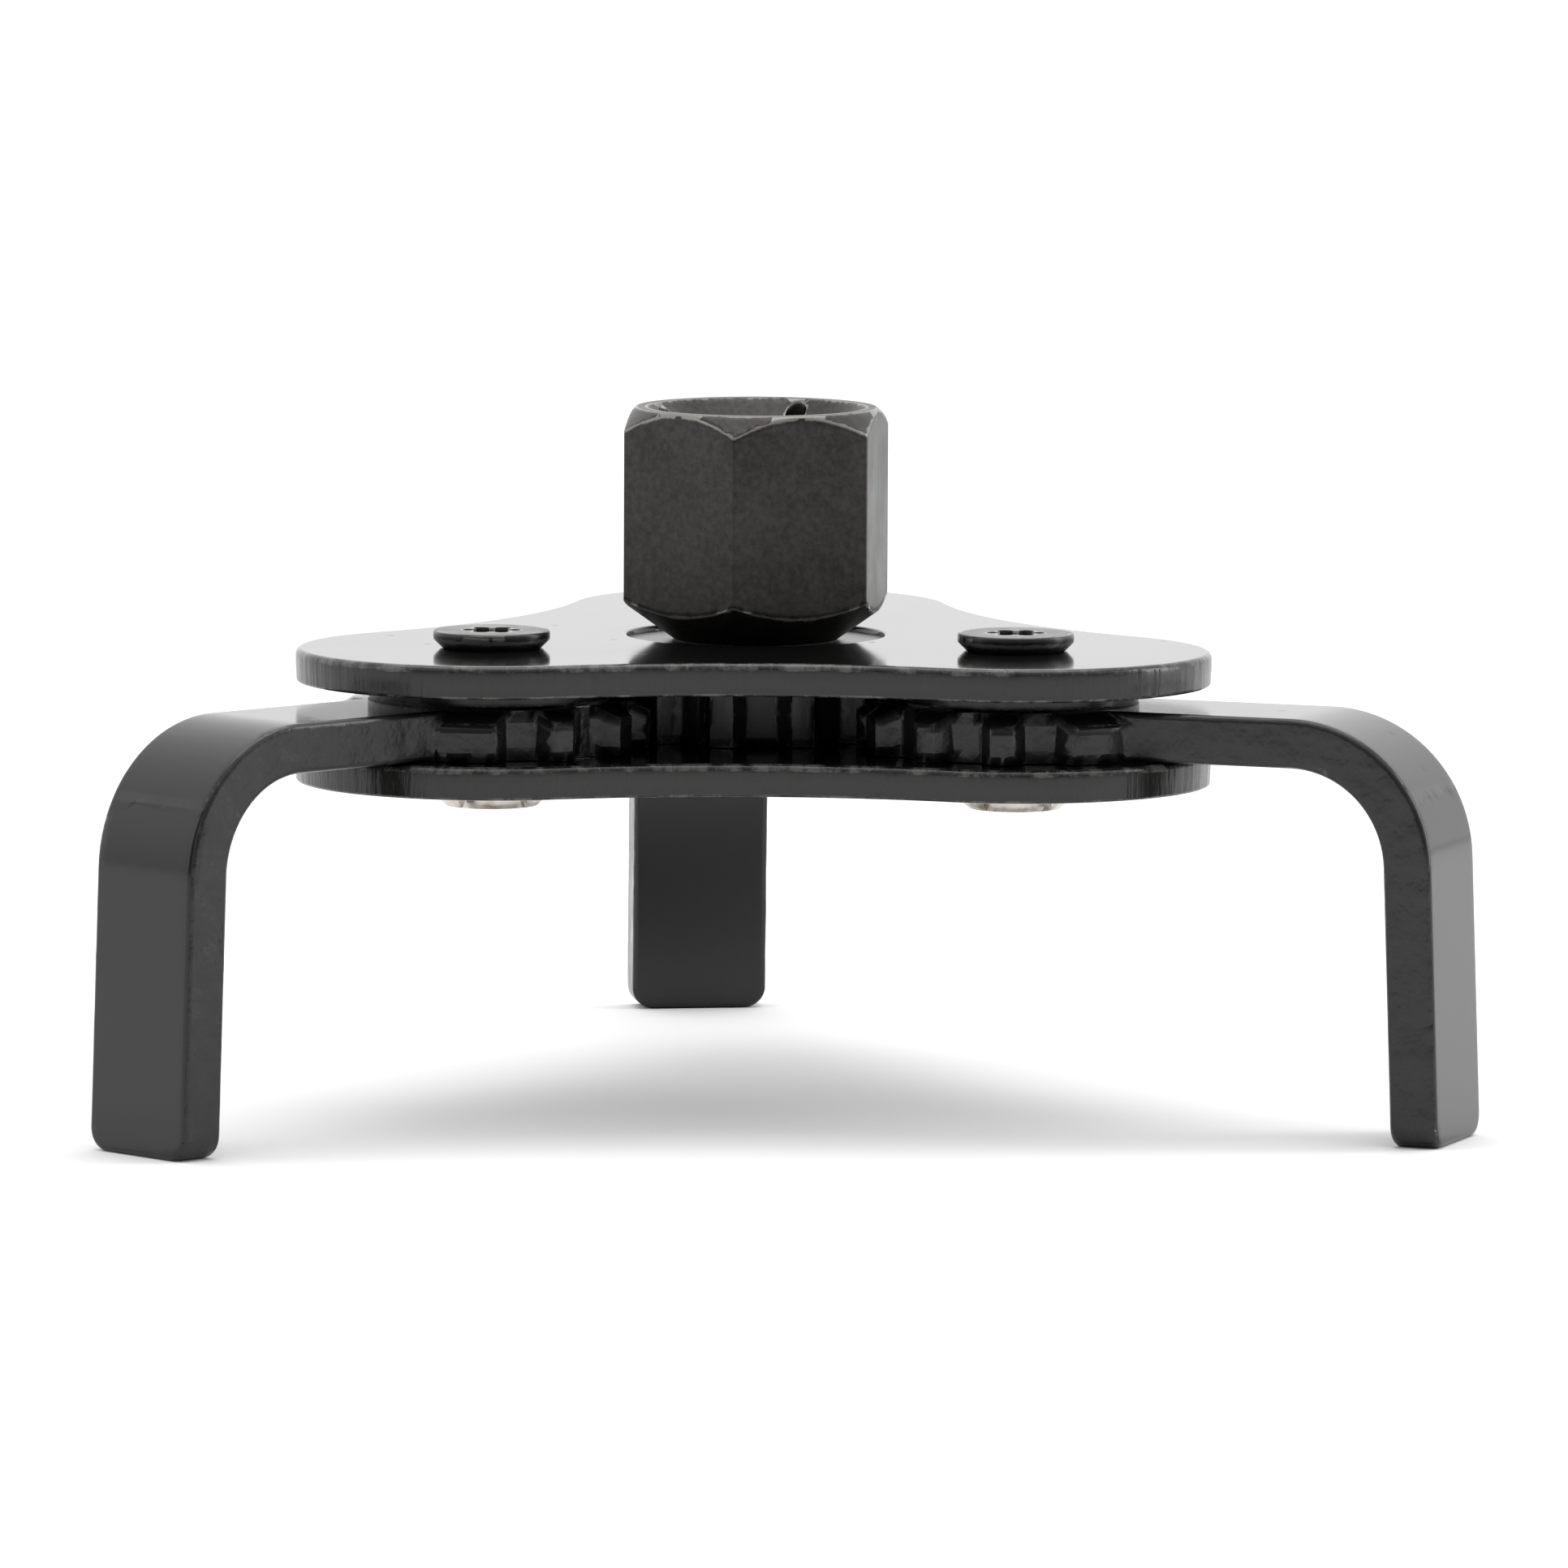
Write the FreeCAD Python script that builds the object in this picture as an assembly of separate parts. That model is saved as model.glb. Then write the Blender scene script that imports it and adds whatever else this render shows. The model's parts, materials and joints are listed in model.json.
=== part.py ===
import FreeCAD, Part
import math
import os

# Two-way oil filter wrench with three legs. Turning the hexagonal head turns a
# sun gear between two plates, and the sun gear swings three geared L-shaped arms
# until their legs close on the filter. Millimetres, +Z up. The origin is on the
# hub's axis, in the mouth of the square drive hole.

V = FreeCAD.Vector
UP = V(0, 0, 1)

# Stations of the three pivots, as bearings about +Z from the front (-Y), with the
# angle by which each arm stands off its outward radial line at rest.
stations = [("left", -60.0, 14.0), ("right", 60.0, 10.0), ("back", 180.0, 9.2)]

# Plates
pivot_circle_radius = 29.3
plate_thickness = 3.2
plate_gap = 6.5
lobe_margin = 3.6           # plate beyond the arm gear's tips
waist_radius = 53.4         # hollow side between two lobes
plate_edge_roll = 0.6       # rounding left by the punch on the upper edge
plate_edge_break = 0.25

# Gears: the sun and the arm ends have the same teeth
gear_teeth = 12
gear_addendum = 0.75
gear_dedendum = 1.25
tooth_tip_width = 2.2
tooth_flank_angle = 25.0
first_tooth = 45.0          # bearing of the tooth that blends into the arm's side
tooth_top_roll = 1.1        # fall of an arm tooth's top face at its tip
sun_turn = 18.4             # bearing of one sun tooth at rest
gear_side_play = 0.1

# Arms, bent from flat bar
bar_thickness = 4.8
bar_width = 13.8
bend_inner_radius = 9.5
leg_reach = 44.1            # pivot axis to the leg's outer face, at the bar's top
leg_height = 40.9           # bar's top face to the leg's tip
leg_splay = 2.1             # degrees outward
tip_corner_radius = 2.2
bar_edge_radius = 0.6
arm_side_play = 0.1

# Pivots
bush_radius = 6.0
bush_neck_radius = 4.75
bush_end_radius = 5.0
bush_end_height = 2.4
bush_end_chamfer = 0.5
stake_notches = 5
stake_notch_width = 0.9
stake_notch_depth = 0.55
washer_radius = 12.0
washer_play = 0.2           # between washer and arm
running_clearance = 0.05
fit_clearance = 0.02

# Pivot screws, countersunk with a six-lobe recess
thread_radius = 3.0
screw_rim_radius = 5.65
screw_rim_height = 0.85
screw_stand_up = 1.7        # head's top above the plate
screw_edge_radius = 0.25
screw_end_gap = 1.4         # thread's end above the bush's lower face
lobe_circle_radius = 2.05
lobe_cutter_radius = 0.78
lobe_core_radius = 1.95
lobe_depth = 1.9

# Hub
drive_square = 12.85
drive_depth = 17.5
corner_relief_radius = 1.05
corner_relief_offset = 0.35  # relief's centre beyond the square's corner
hex_wall = 5.575            # square's side to the parallel hexagon's flat
head_height = 22.3          # above the top plate
rim_flat = 1.0
mouth_margin = 1.7          # countersink beyond the square's corners
head_turn = 21.8            # bearing of one hexagon flat and one side of the square
neck_radius = 7.9
neck_sink = 0.5             # sun gear's face below the plate's
underside_rise = 4.3        # hexagon's lower chamfer, from the neck to the corners
hex_edge_radius = 0.35
journal_radius = 12.5
hole_clearance = 0.09
rivet_flare = 1.0

# Levels
plate_top = -head_height
top_plate_base = plate_top - plate_thickness
gap_floor = top_plate_base - plate_gap
plate_base = gap_floor - plate_thickness
arm_base = gap_floor + arm_side_play
arm_top = arm_base + bar_thickness
washer_base = arm_top + washer_play

# Radii
pitch_radius = pivot_circle_radius / 2
tip_radius = pitch_radius + gear_addendum
root_radius = pitch_radius - gear_dedendum
lobe_radius = tip_radius + lobe_margin
hole_radius = journal_radius + hole_clearance
hex_flats = drive_square + 2 * hex_wall
hex_corner_radius = hex_flats / math.sqrt(3)


def bearing(angle, radius, z=0.0):
    a = math.radians(angle)
    return V(radius * math.sin(a), -radius * math.cos(a), z)


def polar(angle, radius, z=0.0):
    a = math.radians(angle)
    return V(radius * math.cos(a), radius * math.sin(a), z)


def cylinder(radius, low, high, centre=V(0, 0, 0)):
    return Part.makeCylinder(radius, high - low, centre + V(0, 0, low), UP)


def turned(profile):
    # profile: (radius, z) points of a closed outline
    points = [V(r, 0, z) for r, z in profile]
    face = Part.Face(Part.makePolygon(points + points[:1]))
    return face.revolve(V(0, 0, 0), UP, 360)


def prism(points, low, high):
    placed = [V(p.x, p.y, low) for p in points]
    face = Part.Face(Part.makePolygon(placed + placed[:1]))
    return face.extrude(V(0, 0, high - low))


def spin(shape, angle):
    shape.rotate(V(0, 0, 0), UP, angle)
    return shape


def save(name, shape):
    shape = shape.removeSplitter()
    if len(shape.Solids) == 1:
        shape = shape.Solids[0]
    shape.exportStep("parts/" + name + ".step")
    print(name, "volume", round(shape.Volume, 1))


# Plates

def plate_outline(z):
    # Three lobes about the pivots, joined by hollow arcs tangent to them.
    half_span = pivot_circle_radius * math.sin(math.radians(60))
    along = pivot_circle_radius * math.cos(math.radians(60))
    reach = math.sqrt((lobe_radius + waist_radius) ** 2 - half_span ** 2)
    edges = []
    for _, station, _ in stations:
        pivot = bearing(station, pivot_circle_radius, z)
        hollows = [bearing(station + side * 60, along + reach, z) for side in (-1, 1)]
        ends = [pivot + (hollow - pivot).normalize() * lobe_radius for hollow in hollows]
        crown = bearing(station, pivot_circle_radius + lobe_radius, z)
        edges.append(Part.Arc(ends[0], crown, ends[1]).toShape())
        middle = hollows[1] - bearing(station + 60, waist_radius)
        following = spin(Part.Vertex(ends[0]), 120).Point
        edges.append(Part.Arc(ends[1], middle, following).toShape())
    return Part.Wire(Part.__sortEdges__(edges))


def plate(low):
    high = low + plate_thickness
    body = Part.Face(plate_outline(low)).extrude(V(0, 0, plate_thickness))
    body = body.makeFillet(plate_edge_roll, rim_edges(body, high))
    body = body.makeFillet(plate_edge_break, rim_edges(body, low))
    return body.cut(cylinder(hole_radius, low, high))


def rim_edges(body, z):
    return [edge for edge in body.Edges
            if abs(edge.BoundBox.ZMin - z) < 1e-4 and abs(edge.BoundBox.ZMax - z) < 1e-4]


def countersink():
    # The screw's cone, opened by the fit clearance, and the hole for its thread.
    wall = thread_radius + 2 * fit_clearance
    mouth = screw_rim_radius - (screw_stand_up - screw_rim_height) + fit_clearance
    return turned([(0, plate_top + 1), (mouth + 1, plate_top + 1),
                   (wall, plate_top - (mouth - wall)), (wall, top_plate_base - 1),
                   (0, top_plate_base - 1)])


def make_plates():
    top = plate(top_plate_base)
    bottom = plate(plate_base)
    for _, station, _ in stations:
        pivot = bearing(station, pivot_circle_radius)
        sink = countersink()
        sink.translate(pivot)
        top = top.cut(sink)
        bottom = bottom.cut(cylinder(bush_neck_radius + fit_clearance, plate_base, gap_floor, pivot))
    save("top_plate", top)
    save("bottom_plate", bottom)


# Gears

def tooth(angle, low, high):
    # A straight-sided tooth that points along the given angle, sunk into the root.
    sunk = 1.0
    half_tip = tooth_tip_width / 2
    depth = gear_addendum + gear_dedendum + sunk
    half_base = half_tip + depth * math.tan(math.radians(tooth_flank_angle))
    foot, over = tip_radius - depth, tip_radius + 1
    outline = [V(foot, -half_base, 0), V(tip_radius, -half_tip, 0), V(over, -half_tip, 0),
               V(over, half_tip, 0), V(tip_radius, half_tip, 0), V(foot, half_base, 0)]
    return spin(prism(outline, low, high).common(cylinder(tip_radius, low, high)), angle)


def make_sun_gear():
    low = gap_floor + gear_side_play
    high = top_plate_base - gear_side_play
    gear = cylinder(root_radius, low, high)
    for n in range(gear_teeth):
        gear = gear.fuse(tooth(sun_turn - 90 + n * 360 / gear_teeth, low, high))
    face_top = plate_top - neck_sink
    face_base = plate_base + neck_sink
    gear = gear.fuse(cylinder(journal_radius, face_base, face_top))
    bore = neck_radius + fit_clearance
    flare = bore + rivet_flare
    gear = gear.cut(turned([(0, face_top + 1), (bore, face_top + 1),
                            (bore, face_base + rivet_flare), (flare, face_base),
                            (flare, face_base - 1), (0, face_base - 1)]))
    save("sun_gear", gear)


# Drive head

def square_hole():
    half = drive_square / 2
    corner = half * math.sqrt(2)
    side = [V(half, -half, 0), V(half, half, 0), V(-half, half, 0), V(-half, -half, 0)]
    hole = prism(side, -drive_depth, 1)
    for n in range(4):
        relief = polar(45 + 90 * n, corner + corner_relief_offset)
        hole = hole.fuse(cylinder(corner_relief_radius, -drive_depth, 1, relief))
    mouth = corner + mouth_margin
    return hole.fuse(turned([(0, -mouth), (mouth + 1, 1), (0, 1)]))


def make_drive_head():
    shank_base = plate_base + neck_sink
    neck_top = plate_top - neck_sink
    rim = drive_square / math.sqrt(2) + mouth_margin + rim_flat
    corner = hex_corner_radius
    prism_points = [polar(30 + 60 * n, corner) for n in range(6)]
    hexagon = prism(prism_points, shank_base, 0)
    upright = [e for e in hexagon.Edges if e.BoundBox.ZLength > 1]
    hexagon = hexagon.makeFillet(hex_edge_radius, upright)
    envelope = turned([(0, 0), (rim, 0), (corner + 0.1, rim - corner - 0.1),
                       (corner + 0.1, neck_top + underside_rise), (neck_radius, neck_top),
                       (neck_radius, shank_base + rivet_flare),
                       (neck_radius + rivet_flare - fit_clearance, shank_base), (0, shank_base)])
    head = hexagon.common(envelope).cut(square_hole())
    save("drive_head", spin(head, head_turn - 90))


# Arms

def make_bar():
    # The L-shaped flat bar along +X, from the pivot's axis to the leg's tip.
    lean = math.tan(math.radians(leg_splay))
    across = bar_thickness / math.cos(math.radians(leg_splay))
    tip = arm_top - leg_height
    outer_tip = leg_reach + leg_height * lean
    half = bar_width / 2
    inner_corner = leg_reach + bar_thickness * lean - across
    points = [V(0, -half, arm_base), V(inner_corner, -half, arm_base),
              V(outer_tip - across, -half, tip), V(outer_tip, -half, tip),
              V(leg_reach, -half, arm_top), V(0, -half, arm_top)]
    bar = Part.Face(Part.makePolygon(points + points[:1])).extrude(V(0, bar_width, 0))

    def cross_edges(x, z):
        return [e for e in bar.Edges if e.BoundBox.YLength > bar_width - 1e-3
                and abs(e.BoundBox.XMin - x) < 1e-3 and abs(e.BoundBox.ZMin - z) < 1e-3]

    bar = bar.makeFillet(bend_inner_radius, cross_edges(inner_corner, arm_base))
    bar = bar.makeFillet(bend_inner_radius + bar_thickness, cross_edges(leg_reach, arm_top))
    tip_edges = [e for e in bar.Edges if e.BoundBox.ZLength < 1e-3 and e.BoundBox.YLength < 1e-3
                 and abs(e.BoundBox.ZMin - tip) < 1e-3]
    bar = bar.makeFillet(tip_corner_radius, tip_edges)
    side_edges = [e for e in bar.Edges if e.BoundBox.XMax > 1 and e.BoundBox.YLength < 1e-3
                  and e.BoundBox.XLength + e.BoundBox.ZLength > bar_thickness + 1]
    return bar.makeFillet(bar_edge_radius, side_edges)


def make_sector():
    # The toothed end: teeth all round except where the bar leaves it.
    pitch = 360 / gear_teeth
    count = round((360 - 2 * first_tooth) / pitch) + 1
    end = cylinder(root_radius, arm_base, arm_top)
    for n in range(count):
        end = end.fuse(tooth(first_tooth + n * pitch, arm_base, arm_top))
    web = [V(0, 0, 0)] + [polar(a, 2 * tip_radius) for a in (-first_tooth, first_tooth)]
    end = end.fuse(prism(web, arm_base, arm_top).common(cylinder(tip_radius, arm_base, arm_top)))
    roll = turned([(0, arm_base - 1), (tip_radius + 1, arm_base - 1),
                   (tip_radius + 1, arm_top - tooth_top_roll - 1),
                   (tip_radius, arm_top - tooth_top_roll),
                   (root_radius, arm_top), (0, arm_top)])
    return end.common(roll)


def make_arm(name, station, off_radial):
    arm = make_sector().fuse(make_bar())
    arm = arm.cut(cylinder(bush_radius + running_clearance, arm_base - 1, arm_top + 1))
    spin(arm, station + off_radial - 90)
    arm.translate(bearing(station, pivot_circle_radius))
    save("arm_" + name, arm)


# Pivots

def make_bush(name, station):
    end = plate_base - bush_end_height
    tapped = thread_radius + fit_clearance
    bush = turned([(tapped, top_plate_base), (bush_radius, top_plate_base), (bush_radius, gap_floor),
                   (bush_neck_radius, gap_floor), (bush_neck_radius, plate_base),
                   (bush_end_radius, plate_base), (bush_end_radius, end + bush_end_chamfer),
                   (bush_end_radius - bush_end_chamfer, end), (tapped, end)])
    for n in range(stake_notches):
        notch = Part.makeBox(stake_notch_depth * 2, stake_notch_width, bush_end_height * 0.8,
                             V(bush_end_radius - stake_notch_depth, -stake_notch_width / 2, end - 0.1))
        bush = bush.cut(spin(notch, 40 - 90 + n * 360 / stake_notches))
    bush.translate(bearing(station, pivot_circle_radius))
    save("pivot_bush_" + name, bush)


def make_washer(name, station):
    pivot = bearing(station, pivot_circle_radius)
    washer = cylinder(washer_radius, washer_base, top_plate_base, pivot)
    bore = cylinder(bush_radius + running_clearance, washer_base, top_plate_base, pivot)
    save("shim_washer_" + name, washer.cut(bore))


def make_screw(name, station):
    top = plate_top + screw_stand_up
    rim_base = top - screw_rim_height
    cone_base = rim_base - (screw_rim_radius - thread_radius)
    end = plate_base - bush_end_height + screw_end_gap
    screw = turned([(0, top), (screw_rim_radius, top), (screw_rim_radius, rim_base),
                    (thread_radius, cone_base), (thread_radius, end), (0, end)])
    crown = [e for e in screw.Edges if e.BoundBox.ZLength < 1e-3
             and abs(e.BoundBox.ZMin - top) < 1e-3 and e.BoundBox.XLength > screw_rim_radius]
    screw = screw.makeFillet(screw_edge_radius, crown)
    recess = cylinder(lobe_core_radius, top - lobe_depth, top + 1)
    for n in range(6):
        lobe = polar(60 * n, lobe_circle_radius)
        recess = recess.fuse(cylinder(lobe_cutter_radius, top - lobe_depth, top + 1, lobe))
    screw = screw.cut(recess)
    screw.translate(bearing(station, pivot_circle_radius))
    save("pivot_screw_" + name, screw)


os.makedirs("parts", exist_ok=True)
make_plates()
make_sun_gear()
make_drive_head()
for name, station, off_radial in stations:
    make_arm(name, station, off_radial)
    make_bush(name, station)
    make_washer(name, station)
    make_screw(name, station)
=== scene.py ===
import bmesh
import bpy
import json
import math
from mathutils import Matrix, Vector
from mathutils.geometry import tessellate_polygon


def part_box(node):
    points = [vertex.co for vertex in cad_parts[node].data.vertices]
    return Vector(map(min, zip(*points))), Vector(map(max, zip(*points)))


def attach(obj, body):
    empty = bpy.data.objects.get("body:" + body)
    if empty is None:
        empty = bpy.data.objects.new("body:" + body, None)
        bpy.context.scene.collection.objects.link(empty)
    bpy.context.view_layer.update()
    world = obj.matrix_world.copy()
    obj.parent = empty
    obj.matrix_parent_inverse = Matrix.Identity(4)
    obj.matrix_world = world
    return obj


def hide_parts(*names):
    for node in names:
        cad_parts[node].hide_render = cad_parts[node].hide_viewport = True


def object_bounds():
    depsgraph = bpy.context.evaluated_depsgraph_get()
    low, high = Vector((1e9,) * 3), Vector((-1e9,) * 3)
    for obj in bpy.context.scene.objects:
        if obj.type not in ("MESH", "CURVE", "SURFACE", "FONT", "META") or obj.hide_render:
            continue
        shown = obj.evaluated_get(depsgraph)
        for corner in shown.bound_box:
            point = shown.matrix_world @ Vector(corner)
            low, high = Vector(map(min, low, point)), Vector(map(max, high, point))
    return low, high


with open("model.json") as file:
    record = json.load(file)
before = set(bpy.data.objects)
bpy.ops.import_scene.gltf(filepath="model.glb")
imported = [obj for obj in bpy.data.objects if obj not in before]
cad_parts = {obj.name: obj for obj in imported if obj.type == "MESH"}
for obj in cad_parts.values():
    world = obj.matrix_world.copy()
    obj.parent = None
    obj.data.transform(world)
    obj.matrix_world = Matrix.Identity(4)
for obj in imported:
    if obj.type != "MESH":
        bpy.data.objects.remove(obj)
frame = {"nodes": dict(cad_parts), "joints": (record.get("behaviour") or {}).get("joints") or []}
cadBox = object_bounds()
mm = 0.001
print("frame loaded:", len(frame["nodes"]), "nodes")

# Levels and places that every piece shares, read from the frame.
topLow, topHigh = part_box("top_plate")
bottomLow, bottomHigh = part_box("bottom_plate")
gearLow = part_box("sun_gear")[0]
joints = {joint["name"]: Vector(joint["pos_m"]) for joint in frame["joints"]}
stations = ["left", "right", "back"]
pivots = {name: joints["arm_" + name + "_swing"] for name in stations}
pivotCircle = pivots["back"].xy.length


def newPiece(name, mesh):
    piece = bpy.data.objects.new(name, mesh)
    bpy.context.scene.collection.objects.link(piece)
    return piece


def smoothBelow(mesh, angle):
    mesh.shade_smooth()
    mesh.set_sharp_from_angle(angle=math.radians(angle))


class Wire:
    # one socket; operators on it add Math nodes, so shader maths reads as plain expressions
    def __init__(self, graph, socket):
        self.graph, self.socket = graph, socket

    def maths(self, operation, *terms):
        node = self.graph.put("ShaderNodeMath", {"operation": operation}, dict(enumerate(terms)))
        return node[0]

    def __add__(self, other):
        return self.maths("ADD", self, other)

    def __radd__(self, other):
        return self.maths("ADD", other, self)

    def __sub__(self, other):
        return self.maths("SUBTRACT", self, other)

    def __rsub__(self, other):
        return self.maths("SUBTRACT", other, self)

    def __mul__(self, other):
        return self.maths("MULTIPLY", self, other)

    def __rmul__(self, other):
        return self.maths("MULTIPLY", other, self)

    def __truediv__(self, other):
        return self.maths("DIVIDE", self, other)

    def __rtruediv__(self, other):
        return self.maths("DIVIDE", other, self)

    def clip(self, low, high):
        # 0 at low, 1 at high, smooth between
        settings = {"interpolation_type": "SMOOTHSTEP"}
        return self.graph.put("ShaderNodeMapRange", settings,
                              {"Value": self, "From Min": low, "From Max": high})[0]


class Placed:
    # a node already in a graph; node["Color"] or node[0] is an output
    def __init__(self, graph, node):
        self.graph, self.node = graph, node

    def __getitem__(self, key):
        return Wire(self.graph, self.node.outputs[key])


class Graph:
    def __init__(self, tree):
        self.tree = tree

    def put(self, kind, settings=None, values=None):
        node = self.tree.nodes.new(kind)
        for name, value in (settings or {}).items():
            if name == "stops":
                ramp = node.color_ramp.elements
                while len(ramp) < len(value):
                    ramp.new(0.5)
                for stop, (place, colour) in zip(ramp, value):
                    stop.position, stop.color = place, colour
            else:
                setattr(node, name, value)
        for name, value in (values or {}).items():
            if isinstance(value, Wire):
                self.tree.links.new(value.socket, node.inputs[name])
            else:
                node.inputs[name].default_value = value
        return Placed(self, node)

    def blendColours(self, factor, first, second):
        node = self.put("ShaderNodeMix", {"data_type": "RGBA"}).node
        slots = [s for s in node.inputs if s.enabled]
        for slot, value in zip(slots, (factor, first, second)):
            if isinstance(value, Wire):
                self.tree.links.new(value.socket, slot)
            else:
                slot.default_value = value
        return Wire(self, next(s for s in node.outputs if s.enabled))

    def noise(self, coords, scale, detail=3.0, rough=0.5, stretch=None):
        if stretch:
            coords = self.put("ShaderNodeMapping", None, {"Vector": coords, "Scale": stretch})["Vector"]
        return self.put("ShaderNodeTexNoise", None,
                        {"Vector": coords, "Scale": scale, "Detail": detail, "Roughness": rough})[0]

    def cells(self, coords, scale):
        return self.put("ShaderNodeTexVoronoi", None, {"Vector": coords, "Scale": scale})["Distance"]

    def mark(self, name):
        return self.put("ShaderNodeAttribute", {"attribute_name": name})["Fac"]


def material(name, fixed):
    # fixed: Principled sockets that are the same all over
    made = bpy.data.materials.new(name)
    made.use_nodes = True
    graph = Graph(made.node_tree)
    shader = made.node_tree.nodes["Principled BSDF"]
    for socket, value in fixed.items():
        shader.inputs[socket].default_value = value
    coords = graph.put("ShaderNodeTexCoord")["Object"]
    return made, graph, shader, coords


def feed(graph, shader, varying):
    for socket, wire in varying.items():
        graph.tree.links.new(wire.socket, shader.inputs[socket])


def bump(graph, height, strength, depth, under=None):
    values = {"Height": height, "Strength": strength, "Distance": depth}
    if under:
        values["Normal"] = under
    return graph.put("ShaderNodeBump", None, values)["Normal"]


# What the three gloss paints share; noise limits run from 0 to 1.
paintShares = {
    "ior": 1.5, "sideTint": 0.6, "wearLimits": (0.44, 0.62),
    "dustLimits": (0.10, 0.02), "dustRough": 0.15, "broadRough": 0.10, "grainRough": 0.35,
    "peelDepth": 0.02 * mm, "waveDepth": 0.1 * mm, "sideDepth": 0.12 * mm}


def glossPaint(name, look):
    # thick black gloss paint over punched or bent steel; its edges are lightened partly by worn paint and
    # partly by a painted highlight
    s = paintShares
    made, g, shader, at = material(name, {"IOR": s["ior"], "Specular IOR Level": look["specular"]})
    side = g.mark("side")
    edge = g.mark("edge")
    broad = g.noise(at, look["broadScale"], 3)
    fine = g.noise(at, look["fineScale"], 2)
    dust = g.cells(at, look["dustScale"]).clip(*s["dustLimits"])
    grain = g.noise(at, look["grainScale"], 4, 0.6, look["grainStretch"])
    lumps = g.noise(at, look["lumpScale"], 3, 0.55)
    # painted highlight: the lighter edge colour is partly worn paint and partly a painted highlight along
    # the edges
    wearAndHighlight = (edge * g.noise(at, look["wearScale"], 4, 0.7)).clip(*s["wearLimits"]) * look["wear"]
    colour = g.blendColours(side * grain * s["sideTint"], look["colour"], look["sideColour"])
    colour = g.blendColours(wearAndHighlight, colour, look["wornColour"])
    roughness = (look["roughness"] + (broad - 0.5) * s["broadRough"] + dust * s["dustRough"]
                 + side * (look["sideRoughness"] + (grain - 0.5) * s["grainRough"]))
    flatNormal = bump(g, fine, look["peel"], s["peelDepth"])
    flatNormal = bump(g, broad, look["wave"], s["waveDepth"], flatNormal)
    relief = (grain * look["grainDepth"] + lumps * look["lumpDepth"]) * side
    sideNormal = bump(g, relief, 1.0, s["sideDepth"], flatNormal)
    feed(g, shader, {"Base Color": colour, "Roughness": roughness, "Normal": sideNormal})
    return made


# What the two oxides share; the edge brightening is rubbed wear along edges together with a painted
# highlight there.
oxideShares = {
    "ior": 1.6, "speckShare": 0.6, "patchShare": 0.5, "tintLimits": (0.35, 0.75),
    "rubShare": 0.62, "rubLimits": (0.66, 0.86), "patchRough": 0.25, "streakRough": 0.12,
    "rubSmooth": 0.12, "depth": 0.03 * mm}


def oxide(name, look):
    # black oxide on machined steel, brightened along its edges by rubbed wear and a painted highlight
    s = oxideShares
    made, g, shader, at = material(name, {"IOR": s["ior"], "Metallic": look["metallic"]})
    edge = g.mark("edge")
    speck = g.noise(at, look["speckScale"], 3, 0.65)
    patch = g.noise(at, look["patchScale"], 4, 0.6)
    streak = g.noise(at, look["streakScale"], 3, 0.6, look["streakStretch"])
    rubAndHighlightNoise = g.noise(at, look["rubScale"], 5, 0.7)
    # painted highlight: the bright edge mask is partly rubbed wear and partly a painted highlight
    rub = (edge * s["rubShare"] + rubAndHighlightNoise * s["rubShare"]).clip(*s["rubLimits"])
    tint = (speck * s["speckShare"] + patch * s["patchShare"]).clip(*s["tintLimits"])
    colour = g.blendColours(tint, look["dark"], look["light"])
    # bright is the colour of the rubbed wear and the painted edge highlight
    colour = g.blendColours(rub * look["rub"], colour, look["bright"])
    roughness = (look["roughness"] + (patch - 0.5) * s["patchRough"]
                 + (streak - 0.5) * s["streakRough"] - rub * s["rubSmooth"])
    normal = bump(g, speck, look["pit"], s["depth"])
    normal = bump(g, streak, look["streak"], s["depth"], normal)
    feed(g, shader, {"Base Color": colour, "Roughness": roughness, "Normal": normal})
    return made


def bareSteel(name, look):
    # bright turned steel with faint rings and stains
    made, g, shader, at = material(name, {"Metallic": 1.0})
    edge = g.mark("edge")
    stain = g.noise(at, look["stainScale"], 4, 0.6)
    rings = g.noise(at, look["ringScale"], 3, 0.6, look["ringStretch"])
    colour = g.blendColours(stain.clip(*look["stainLimits"]), look["clean"], look["stained"])
    roughness = (look["roughness"] + (rings - 0.5) * look["ringRough"] + stain * look["stainRough"]
                 - edge * look["edgeSmooth"])
    normal = bump(g, rings, look["ringBump"], look["ringDepth"])
    feed(g, shader, {"Base Color": colour, "Roughness": roughness, "Normal": normal})
    return made


platePaint = glossPaint("plate gloss black", {
    "colour": (0.006, 0.006, 0.006, 1), "sideColour": (0.035, 0.034, 0.032, 1),
    "wornColour": (0.16, 0.155, 0.15, 1), "wear": 0.5, "specular": 0.42,
    "roughness": 0.09, "sideRoughness": 0.14,
    "broadScale": 55, "fineScale": 900, "dustScale": 160, "wearScale": 420,
    "grainScale": 900, "grainStretch": (1, 1, 0.09), "grainDepth": 1.0,
    "lumpScale": 260, "lumpDepth": 0.4, "peel": 0.12, "wave": 0.10})

armPaint = glossPaint("arm gloss black", {
    "colour": (0.007, 0.007, 0.007, 1), "sideColour": (0.022, 0.022, 0.021, 1),
    "wornColour": (0.14, 0.135, 0.13, 1), "wear": 0.35, "specular": 0.42,
    "roughness": 0.12, "sideRoughness": 0.12,
    "broadScale": 60, "fineScale": 800, "dustScale": 140, "wearScale": 380,
    "grainScale": 420, "grainStretch": (1, 1, 0.7), "grainDepth": 0.35,
    "lumpScale": 330, "lumpDepth": 1.3, "peel": 0.14, "wave": 0.14})

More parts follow.
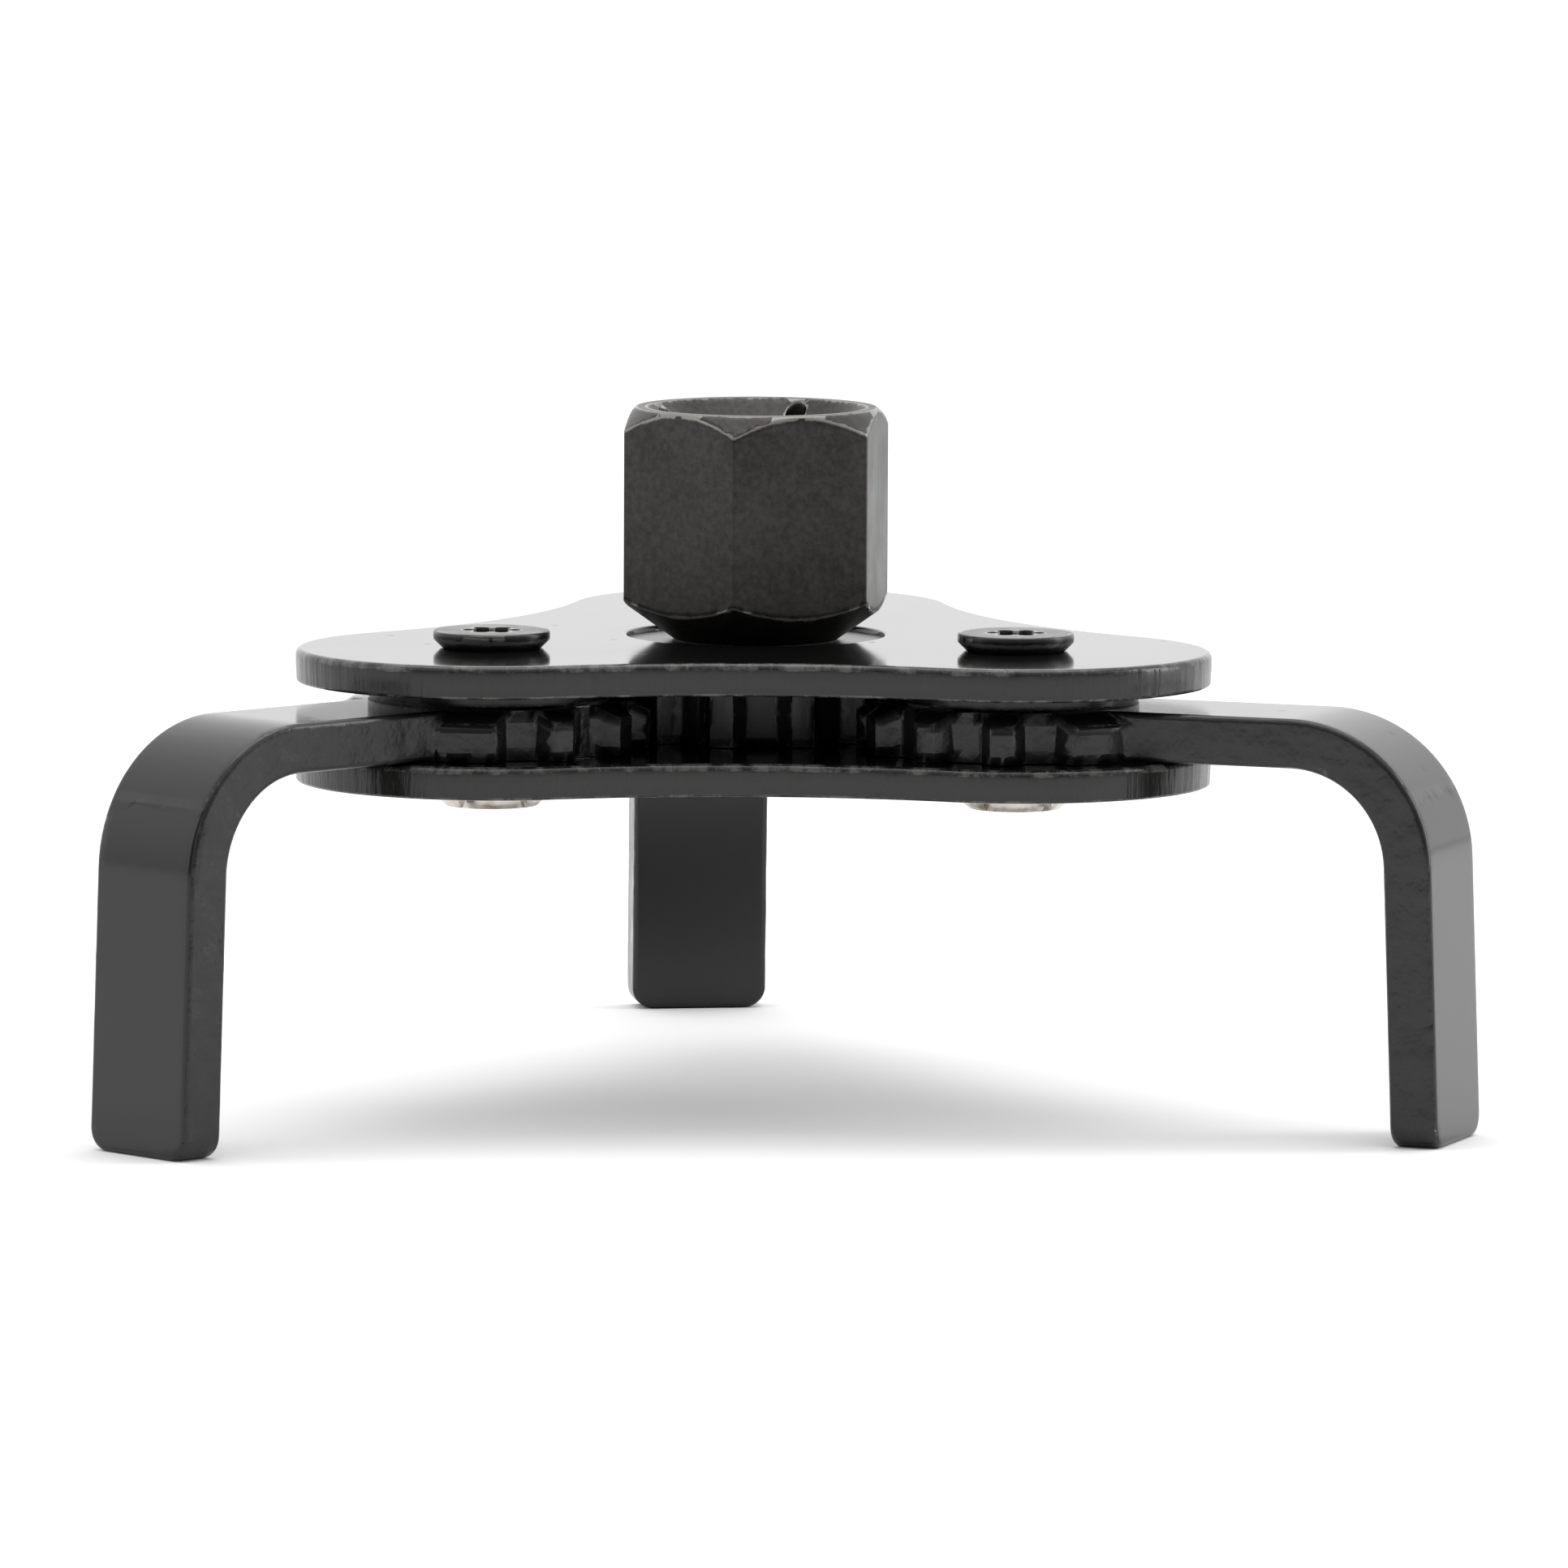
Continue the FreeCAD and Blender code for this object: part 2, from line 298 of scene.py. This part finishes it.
gearPaint = glossPaint("gear black", {
    "colour": (0.006, 0.006, 0.006, 1), "sideColour": (0.03, 0.029, 0.027, 1),
    "wornColour": (0.2, 0.19, 0.18, 1), "wear": 0.6, "specular": 0.42,
    "roughness": 0.24, "sideRoughness": 0.1,
    "broadScale": 90, "fineScale": 900, "dustScale": 200, "wearScale": 500,
    "grainScale": 800, "grainStretch": (1, 1, 0.2), "grainDepth": 0.8,
    "lumpScale": 300, "lumpDepth": 0.4, "peel": 0.2, "wave": 0.1})

headOxide = oxide("head black oxide", {
    "dark": (0.008, 0.0074, 0.0068, 1), "light": (0.040, 0.036, 0.032, 1),
    "bright": (0.30, 0.28, 0.26, 1), "rub": 0.6, "metallic": 0.55, "roughness": 0.40,
    "speckScale": 1500, "patchScale": 160, "streakScale": 700, "streakStretch": (1, 1, 0.08),
    "rubScale": 700, "pit": 0.35, "streak": 0.15})

screwOxide = oxide("screw black", {
    "dark": (0.006, 0.006, 0.006, 1), "light": (0.022, 0.021, 0.02, 1),
    "bright": (0.3, 0.29, 0.27, 1), "rub": 0.35, "metallic": 0.3, "roughness": 0.30,
    "speckScale": 1200, "patchScale": 240, "streakScale": 900, "streakStretch": (1, 1, 0.5),
    "rubScale": 900, "pit": 0.15, "streak": 0.1})

bushSteel = bareSteel("bush bare steel", {
    "clean": (0.58, 0.54, 0.50, 1), "stained": (0.34, 0.28, 0.23, 1),
    "roughness": 0.22, "stainScale": 500, "ringScale": 700, "ringStretch": (0.3, 0.3, 3.0),
    "stainLimits": (0.42, 0.68), "stainRough": 0.12, "ringRough": 0.2, "edgeSmooth": 0.05,
    "ringBump": 0.35, "ringDepth": 0.03 * mm})
print("materials made")


def newTree(name, inputs):
    # a geometry tree with these inputs after its geometry: tree, graph, what it is given, its end
    tree = bpy.data.node_groups.new(name, "GeometryNodeTree")
    face = tree.interface
    face.new_socket("Geometry", in_out="INPUT", socket_type="NodeSocketGeometry")
    for label, kind, value in inputs:
        socket = face.new_socket(label, in_out="INPUT", socket_type=kind)
        if value is not None:
            socket.default_value = value
    face.new_socket("Geometry", in_out="OUTPUT", socket_type="NodeSocketGeometry")
    graph = Graph(tree)
    return tree, graph, graph.put("NodeGroupInput"), graph.put("NodeGroupOutput").node


def roughSidesTree():
    # pushes the side walls in and out by a stretched noise
    tree, g, given, out = newTree("roughSides", [
        ("Depth", "NodeSocketFloat", 0.0001), ("Scale", "NodeSocketFloat", 500.0),
        ("Stretch", "NodeSocketVector", (1, 1, 0.1)), ("Finish", "NodeSocketMaterial", None)])
    place = g.put("GeometryNodeInputPosition")[0]
    stretched = g.put("ShaderNodeVectorMath", {"operation": "MULTIPLY"}, {0: place, 1: given["Stretch"]})[0]
    wave = g.put("ShaderNodeTexNoise", None, {"Vector": stretched, "Scale": given["Scale"],
                                              "Detail": 2.0, "Roughness": 0.6})[0]
    side = g.put("GeometryNodeInputNamedAttribute", {"data_type": "FLOAT"}, {"Name": "side"})[0]
    normal = g.put("GeometryNodeInputNormal")[0]
    amount = (wave - 0.5) * given["Depth"] * side * 2.0
    push = g.put("ShaderNodeVectorMath", {"operation": "SCALE"}, {0: normal, "Scale": amount})[0]
    moved = g.put("GeometryNodeSetPosition", None, {"Geometry": given["Geometry"], "Offset": push})[0]
    real = g.put("GeometryNodeRealizeInstances", None, {"Geometry": moved})[0]
    done = g.put("GeometryNodeSetMaterial", None, {"Geometry": real, "Material": given["Finish"]})[0]
    g.tree.links.new(done.socket, out.inputs[0])
    return tree


def ringTree():
    # sets copies of the given part round the hub's axis and welds what meets
    tree, g, given, out = newTree("ringOfParts", [
        ("Count", "NodeSocketInt", 3), ("Radius", "NodeSocketFloat", 0.0),
        ("Turn", "NodeSocketFloat", 0.0), ("Weld", "NodeSocketFloat", 1e-6),
        ("Finish", "NodeSocketMaterial", None)])
    line = g.put("GeometryNodeMeshLine", {"mode": "OFFSET"}, {"Count": given["Count"],
                                                             "Offset": (0.0, 0.0, 0.0)})[0]
    index = g.put("GeometryNodeInputIndex")[0]
    angle = index * (2 * math.pi) / given["Count"] + given["Turn"]
    spot = g.put("ShaderNodeCombineXYZ", None, {"X": angle.maths("COSINE", angle) * given["Radius"],
                                                "Y": angle.maths("SINE", angle) * given["Radius"]})[0]
    points = g.put("GeometryNodeSetPosition", None, {"Geometry": line, "Position": spot})[0]
    turn = g.put("ShaderNodeCombineXYZ", None, {"Z": angle})[0]
    copies = g.put("GeometryNodeInstanceOnPoints", None, {"Points": points, "Instance": given["Geometry"],
                                                          "Rotation": turn})[0]
    real = g.put("GeometryNodeRealizeInstances", None, {"Geometry": copies})[0]
    welded = g.put("GeometryNodeMergeByDistance", None, {"Geometry": real, "Distance": given["Weld"]})[0]
    done = g.put("GeometryNodeSetMaterial", None, {"Geometry": welded, "Material": given["Finish"]})[0]
    g.tree.links.new(done.socket, out.inputs[0])
    return tree


def through(piece, tree, values):
    # runs the piece's mesh through a tree and keeps the result as a plain mesh
    modifier = piece.modifiers.new(tree.name, "NODES")
    modifier.node_group = tree
    sockets = {item.name: item.identifier for item in tree.interface.items_tree
               if item.in_out == "INPUT"}
    for name, value in values.items():
        modifier[sockets[name]] = value
    bpy.context.view_layer.update()
    ready = piece.evaluated_get(bpy.context.evaluated_depsgraph_get())
    mesh = bpy.data.meshes.new_from_object(ready)
    piece.modifiers.remove(modifier)
    old = piece.data
    piece.data = mesh
    mesh.name = piece.name
    bpy.data.meshes.remove(old)
    return piece


roughSides = roughSidesTree()
ringOfParts = ringTree()


def settle(piece, body, nodes, sharp):
    smoothBelow(piece.data, sharp)
    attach(piece, body)
    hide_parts(*nodes)
    return piece


# Both plates are one blank. Each row of cutEdge is a depth, as a share of the thickness, and how
# many millimetres the punched edge stands in there.
plateSizes = {
    "lobeRadius": topHigh.x - pivots["right"].x, "waistRadius": 53.4 * mm,
    "holeRadius": 12.59 * mm, "holeSoft": 0.25 * mm, "softShare": 0.3,
    "screwMouth": 4.82 * mm, "screwHole": 3.04 * mm, "bushHole": 4.77 * mm,
    "mouthLip": 0.1 * mm, "mouthDrop": 0.04 * mm,
    "roll": 0.6 * mm, "rollSteps": 6, "break": 0.22 * mm, "breakSteps": 3, "flatStrip": 0.08 * mm,
    "cutEdge": ((0.32, 0.0), (0.45, 0.0), (0.58, 0.02), (0.70, 0.05), (0.80, 0.06), (0.88, 0.07)),
    # how strongly cut walls and screw mouths get the edge wear and painted highlight
    "cutWear": 0.25, "mouthWear": 0.8, "sharp": 32,
    "lobePoints": 170, "waistPoints": 170, "journalPoints": 144, "pivotPoints": 72,
    "edgeDepth": 0.055 * mm, "edgeScale": 900.0, "edgeStretch": (1, 1, 0.05)}


def plateOutline(sizes):
    # points and outward directions; a third runs along the front waist from its left end and
    # round the right lobe, and is then turned twice
    lobe, waist = sizes["lobeRadius"], sizes["waistRadius"]
    halfSpan = pivotCircle * math.sin(math.radians(60))
    along = pivotCircle * math.cos(math.radians(60))
    reach = math.sqrt((lobe + waist) ** 2 - halfSpan ** 2)
    hollow = Vector((0, -(along + reach)))
    right = pivots["right"].xy
    toRight = hollow - right
    meet = math.degrees(math.atan2(toRight.y, toRight.x))
    opening = math.degrees(math.atan2((right - hollow).y, (right - hollow).x))
    third = []
    for i in range(sizes["waistPoints"]):
        a = math.radians(180 - opening + (2 * opening - 180) * i / sizes["waistPoints"])
        out = Vector((math.cos(a), math.sin(a)))
        third.append((hollow + out * waist, -out))
    lobeBearing = -30
    sweep = 2 * (lobeBearing - meet)
    for i in range(sizes["lobePoints"]):
        a = math.radians(meet + sweep * i / sizes["lobePoints"])
        out = Vector((math.cos(a), math.sin(a)))
        third.append((right + out * lobe, out))
    points = []
    for n in range(3):
        turn = Matrix.Rotation(math.radians(120 * n), 2)
        points += [(turn @ p, turn @ out) for p, out in third]
    return points


def plateProfile(sizes, high, low):
    # (inset, z, side, edge) from the top face over the punched edge to the bottom face
    roll, cut = sizes["roll"], sizes["break"]
    rows = [(roll + sizes["flatStrip"], high, 0, 0)]
    for i in range(sizes["rollSteps"] + 1):
        share = i / sizes["rollSteps"]
        a = math.radians(90 * i / sizes["rollSteps"])
        rows.append((roll * (1 - math.sin(a)), high - roll * (1 - math.cos(a)), share, 1))
    thick = high - low
    for share, inset in sizes["cutEdge"]:
        rows.append((inset * mm, high - thick * share, 1, sizes["cutWear"]))
    taper = sizes["cutEdge"][-1][1] * mm
    for i in range(sizes["breakSteps"] + 1):
        share = i / sizes["breakSteps"]
        a = math.radians(90 * i / sizes["breakSteps"])
        rows.append((taper + cut * (1 - math.cos(a)), low + cut * (1 - math.sin(a)), 1 - share, 1))
    rows.append((taper + cut + sizes["flatStrip"], low, 0, 0))
    return rows


def drawCircle(centre, radius, z, count):
    return [Vector((centre[0] + radius * math.cos(2 * math.pi * i / count),
                    centre[1] + radius * math.sin(2 * math.pi * i / count), z)) for i in range(count)]


def addLoop(work, points):
    return [work.verts.new(p) for p in points]


def bridge(work, first, second):
    count = len(first)
    for i in range(count):
        j = (i + 1) % count
        work.faces.new((first[i], first[j], second[j], second[i]))


def buildPlate(name, sizes, low, high, holes):
    # holes: (centre, [(radius, z) from the top face to the bottom face], points)
    outline = plateOutline(sizes)
    rows = plateProfile(sizes, high, low)
    work = bmesh.new()
    sideLayer = work.verts.layers.float.new("side")
    edgeLayer = work.verts.layers.float.new("edge")
    rings = []
    for inset, z, side, edge in rows:
        ring = addLoop(work, [Vector((*(p - out * inset), z)) for p, out in outline])
        for vert in ring:
            vert[sideLayer], vert[edgeLayer] = side, edge
        rings.append(ring)
    for a, b in zip(rings, rings[1:]):
        bridge(work, a, b)
    topLoops, bottomLoops = [rings[0]], [rings[-1]]
    for centre, profile, count in holes:
        # a narrow flat ring at each mouth keeps the plate's face shaded flat
        (firstR, firstZ), (lastR, lastZ) = profile[0], profile[-1]
        profile = [(firstR + sizes["flatStrip"], firstZ), *profile, (lastR + sizes["flatStrip"], lastZ)]
        loops = [addLoop(work, drawCircle(centre, r, z, count)) for r, z in profile]
        for a, b in zip(loops, loops[1:]):
            bridge(work, a, b)
        # screw mouths get edge wear and a painted highlight
        for vert in loops[2]:
            vert[edgeLayer] = sizes["mouthWear"]
        topLoops.append(loops[0])
        bottomLoops.append(loops[-1])
    for loops in (topLoops, bottomLoops):
        corners = [vert for loop in loops for vert in loop]
        for triangle in tessellate_polygon([[vert.co for vert in loop] for loop in loops]):
            work.faces.new([corners[i] for i in triangle])
    bmesh.ops.recalc_face_normals(work, faces=work.faces)
    mesh = bpy.data.meshes.new(name)
    work.to_mesh(mesh)
    work.free()
    piece = newPiece(name, mesh)
    through(piece, roughSides, {"Depth": sizes["edgeDepth"], "Scale": sizes["edgeScale"],
                                "Stretch": sizes["edgeStretch"], "Finish": platePaint})
    return piece


def holeProfile(sizes, high, low):
    # the hub's hole, softened at both mouths
    radius, soft = sizes["holeRadius"], sizes["holeSoft"]
    ease = soft * sizes["softShare"]
    return [(radius + soft, high), (radius + ease, high - ease), (radius, high - soft),
            (radius, low + soft), (radius + ease, low + ease), (radius + soft, low)]


def makePlates(s):
    mouth, narrow, bush = s["screwMouth"], s["screwHole"], s["bushHole"]
    sunk = [(mouth + s["mouthLip"], topHigh.z), (mouth, topHigh.z - s["mouthDrop"]),
            (narrow, topHigh.z - (mouth - narrow)), (narrow, topLow.z)]
    plain = [(bush, bottomHigh.z), (bush, (bottomHigh.z + bottomLow.z) / 2), (bush, bottomLow.z)]
    topHoles = [((0, 0), holeProfile(s, topHigh.z, topLow.z), s["journalPoints"])]
    bottomHoles = [((0, 0), holeProfile(s, bottomHigh.z, bottomLow.z), s["journalPoints"])]
    for pivot in pivots.values():
        topHoles.append((pivot.xy, sunk, s["pivotPoints"]))
        bottomHoles.append((pivot.xy, plain, s["pivotPoints"]))
    top = buildPlate("topPlate", s, topLow.z, topHigh.z, topHoles)
    bottom = buildPlate("bottomPlate", s, bottomLow.z, bottomHigh.z, bottomHoles)
    settle(top, "frame", ["top_plate"], s["sharp"])
    settle(bottom, "frame", ["bottom_plate"], s["sharp"])


makePlates(plateSizes)
print("plates made")


# Body, slot, finish and sharp angle of each piece that follows its exact solid. An arm is its
# own body, so its row starts at the slot.
pieceFinish = {
    "drive_head": ("hub", "head_oxide", headOxide, 28),
    "sun_gear": ("hub", "gear_steel", gearPaint, 28),
    "arm": ("arm_paint", armPaint, 38),
    "pivot_bush": ("frame", "bush_zinc", bushSteel, 30),
    "shim_washer": ("frame", "gear_steel", gearPaint, 30),
    "pivot_screw": ("frame", "screw_oxide", screwOxide, 30)}

# How the solids' meshes are joined up and cut finer; angles in degrees.
meshSizes = {
    "weld": 1e-6, "ringWeld": 1e-7, "flatAngle": 0.3, "passes": 5, "slack": 1.6,
    "longest": 0.8 * mm, "headLongest": 0.5 * mm, "bendAngle": 18,
    "acrossLimit": 0.7, "uprightLimit": 0.5, "boreKeep": 8 * mm}
armSides = {"Depth": 0.06 * mm, "Scale": 420.0, "Stretch": (1, 1, 0.7)}


def longEdges(work, limit):
    return [e for e in work.edges if e.calc_length() > limit]


def cutFiner(work, limit, passes):
    # halves long edges, so that relief, wear and the painted edge highlight have points to follow
    for _ in range(passes):
        if not longEdges(work, limit):
            break
        bmesh.ops.triangulate(work, faces=[f for f in work.faces if len(f.verts) > 4])
        bmesh.ops.subdivide_edges(work, edges=longEdges(work, limit), cuts=1)


def markSurface(work, node, across, s):
    # edge is 1 where faces bend and carries wear and a painted highlight, side is 1 on walls that get grain
    # and relief
    sideLayer = work.verts.layers.float.new("side")
    edgeLayer = work.verts.layers.float.new("edge")
    for vert in work.verts:
        bends = [e.calc_face_angle(0) for e in vert.link_edges if len(e.link_faces) == 2]
        vert[edgeLayer] = 1.0 if max(bends, default=0) > math.radians(s["bendAngle"]) else 0.0
        lying = abs(vert.normal.dot(across)) > s["acrossLimit"] if across else False
        upright = (abs(vert.normal.z) < s["uprightLimit"] and vert.co.z > gearLow.z
                   and node != "drive_head")
        clear = (across is None
                 or (vert.co - pivots[node.removeprefix("arm_")]).xy.length > s["boreKeep"])
        vert[sideLayer] = 1.0 if clear and (lying or upright) else 0.0


def finishedCopy(node, body, slot, finish, sharp, across=None, alike=()):
    # alike: the other nodes of this shape, which a ring of copies stands for
    s = meshSizes
    mesh = frame["nodes"][node].data.copy()
    work = bmesh.new()
    work.from_mesh(mesh)
    bmesh.ops.remove_doubles(work, verts=work.verts, dist=s["weld"])
    bmesh.ops.dissolve_limit(work, angle_limit=math.radians(s["flatAngle"]), verts=work.verts,
                             edges=work.edges)
    bmesh.ops.recalc_face_normals(work, faces=work.faces)
    longest = s["headLongest"] if node == "drive_head" else s["longest"]
    cutFiner(work, longest * s["slack"], s["passes"])
    markSurface(work, node, across, s)
    work.to_mesh(mesh)
    work.free()
    mesh.materials.clear()
    mesh.materials.append(finish)
    words = node.split("_")
    piece = newPiece(words[0] + "".join(w.title() for w in words[1:]), mesh)
    if across:
        through(piece, roughSides, {**armSides, "Finish": finish})
    if alike:
        through(piece, ringOfParts, {"Count": 1 + len(alike), "Radius": 0.0, "Turn": 0.0,
                                     "Weld": s["ringWeld"], "Finish": finish})
    return settle(piece, body, [node, *alike], sharp)


for node in ("drive_head", "sun_gear"):
    finishedCopy(node, *pieceFinish[node])
for name in stations:
    low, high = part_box("arm_" + name)
    far = (low + high) / 2 - pivots[name]
    reach = Vector((far.x, far.y, 0)).normalized()
    across = Vector((-reach.y, reach.x, 0))
    finishedCopy("arm_" + name, "arm_" + name, *pieceFinish["arm"], across)
    finishedCopy("pivot_bush_" + name, *pieceFinish["pivot_bush"])
for kind in ("shim_washer", "pivot_screw"):
    finishedCopy(kind + "_right", *pieceFinish[kind], alike=[kind + "_left", kind + "_back"])
print("head, gear, arms and fasteners made")


# The room is dim in front of the part and bright behind and above it.
stageSizes = {
    "floorHalf": 8.0, "floorColour": (0.93, 0.93, 0.93, 1), "floorRoughness": 0.9, "floorSpecular": 0.1,
    "back": 1.3, "front": 0.2, "upShare": 0.8, "dimUpTo": -0.7, "brightFrom": 0.5}


def makeFloor(s):
    level = cadBox[0][2]
    half = s["floorHalf"]
    mesh = bpy.data.meshes.new("floor")
    mesh.from_pydata([(-half, -half, level), (half, -half, level), (half, half, level),
                      (-half, half, level)], [], [(0, 1, 2, 3)])
    made = material("pale floor", {"Base Color": s["floorColour"], "Roughness": s["floorRoughness"],
                                   "Specular IOR Level": s["floorSpecular"]})[0]
    mesh.materials.append(made)
    newPiece("floor", mesh)


def makeRoom(s):
    world = bpy.data.worlds.new("studio")
    world.use_nodes = True
    bpy.context.scene.world = world
    g = Graph(world.node_tree)
    way = g.put("ShaderNodeSeparateXYZ", None, {"Vector": g.put("ShaderNodeTexCoord")["Generated"]})
    share = (way["Y"] + way["Z"] * s["upShare"]).clip(s["dimUpTo"], s["brightFrom"])
    bright = share * (s["back"] - s["front"]) + s["front"]
    background = world.node_tree.nodes["Background"]
    world.node_tree.links.new(bright.socket, background.inputs["Strength"])
    background.inputs["Color"].default_value = (1, 1, 1, 1)


lightSizes = {
    "overhead": {"place": (0.0, 0.15, 1.1), "aim": (0, 0, 0), "size": (1.0, 0.8), "power": 4.5},
    "leftStrip": {"place": (-0.9, -0.25, 0.35), "aim": (0, 0, -0.02), "size": (0.12, 0.8), "power": 0.6},
    "rightStrip": {"place": (1.0, 0.1, 0.35), "aim": (0, 0, -0.02), "size": (0.3, 0.9), "power": 4}}


def addLight(name, s):
    lamp = bpy.data.lights.new(name, "AREA")
    lamp.shape = "RECTANGLE"
    lamp.size, lamp.size_y = s["size"]
    lamp.energy = s["power"]
    light = bpy.data.objects.new(name, lamp)
    light.location = s["place"]
    towards = Vector(s["aim"]) - Vector(s["place"])
    light.rotation_euler = towards.to_track_quat("-Z", "Y").to_euler()
    bpy.context.scene.collection.objects.link(light)


# Angles in degrees, lens and sensor in millimetres.
cameraSizes = {"place": (0.0192, -1.4466, topHigh.z + 0.1444), "down": 6.279, "yaw": 0.648,
               "roll": 0.269, "lens": 341.2, "sensor": 36}


def makeCamera(s):
    lens = bpy.data.cameras.new("camera")
    lens.lens, lens.sensor_width = s["lens"], s["sensor"]
    camera = bpy.data.objects.new("camera", lens)
    turn = (Matrix.Rotation(math.radians(s["yaw"]), 4, "Z")
            @ Matrix.Rotation(math.radians(90 - s["down"]), 4, "X")
            @ Matrix.Rotation(math.radians(s["roll"]), 4, "Z"))
    camera.matrix_world = Matrix.Translation(s["place"]) @ turn
    bpy.context.scene.collection.objects.link(camera)
    bpy.context.scene.camera = camera
    bpy.context.scene.view_settings.view_transform = "Standard"


makeFloor(stageSizes)
makeRoom(stageSizes)
for name, sizes in lightSizes.items():
    addLight(name, sizes)
makeCamera(cameraSizes)
print("stage and camera made")
